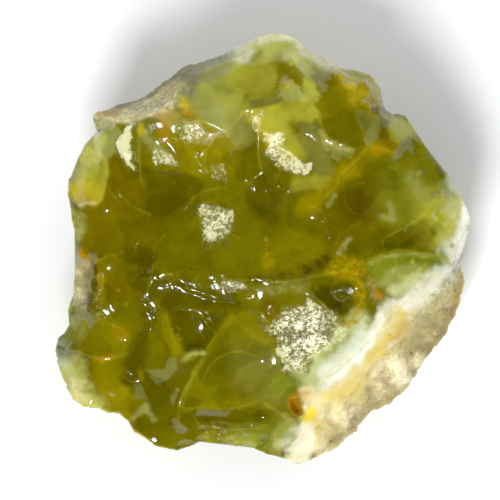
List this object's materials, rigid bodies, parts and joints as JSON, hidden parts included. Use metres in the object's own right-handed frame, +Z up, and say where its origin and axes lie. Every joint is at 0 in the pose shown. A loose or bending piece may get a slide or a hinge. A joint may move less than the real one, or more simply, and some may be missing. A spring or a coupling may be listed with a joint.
{
  "type": "rough green opal",
  "caption": "Rough olive green opal, a broken chunk with a shiny hollow-scarred face, a milky white band and cream rind, lying on its flat parting face.",
  "frame": {"origin": "middle of the box around the stone, at the flat parting face that it lies on", "axes": "+Z up out of the broken green face, +Y to the face's upper edge, +X to its right side, where the milky band and the rind are"},
  "size_m": [0.0694, 0.072, 0.0303],
  "materials": {
    "opal_stone": "wet gloss, translucent, with a matt cream rind"
  },
  "bodies": {
    "root": {"opal": "opal_stone"}
  },
  "joints": []
}
